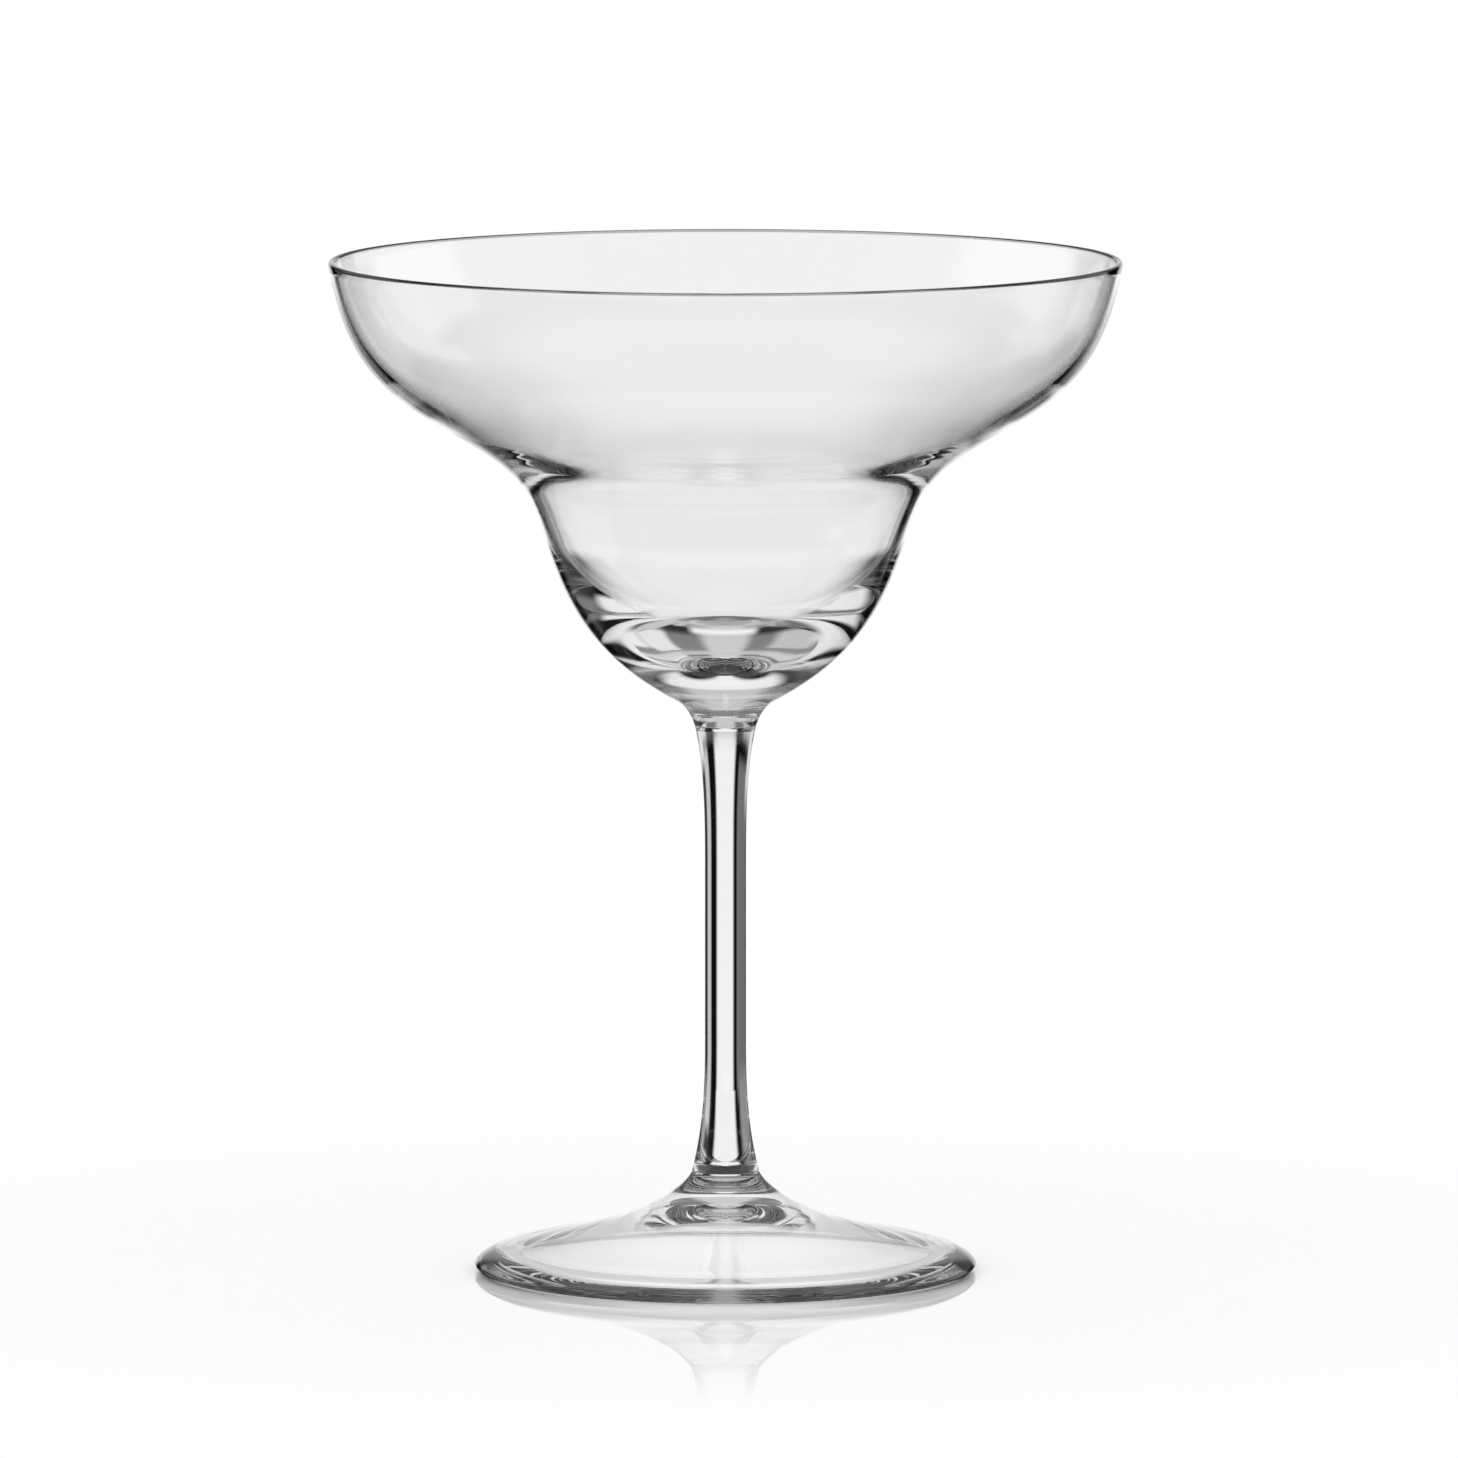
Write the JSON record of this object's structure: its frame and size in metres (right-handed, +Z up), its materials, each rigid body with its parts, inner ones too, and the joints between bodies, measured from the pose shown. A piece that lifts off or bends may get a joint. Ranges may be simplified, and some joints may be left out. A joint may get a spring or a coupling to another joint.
{
  "type": "margarita glass",
  "caption": "Clear stemmed cocktail glass: a wide saucer rim stepped over a narrow cup, on a slim drawn stem and a round domed foot, for serving margaritas.",
  "frame": {"origin": "centre of the foot, on the plane of the ring that it stands on", "axes": "+Z up along the axis of the glass, from the foot to the rim; the glass is the same all round, so +X and +Y are any two level directions"},
  "size_m": [0.1248, 0.1248, 0.16],
  "materials": {
    "foot_glass": "clear pressed glass, fire-polished",
    "stem_glass": "clear drawn glass, fire-polished",
    "bowl_glass": "clear blown glass, fire-polished"
  },
  "bodies": {
    "root": {"foot": "foot_glass", "stem": "stem_glass", "bowl": "bowl_glass"}
  },
  "joints": []
}
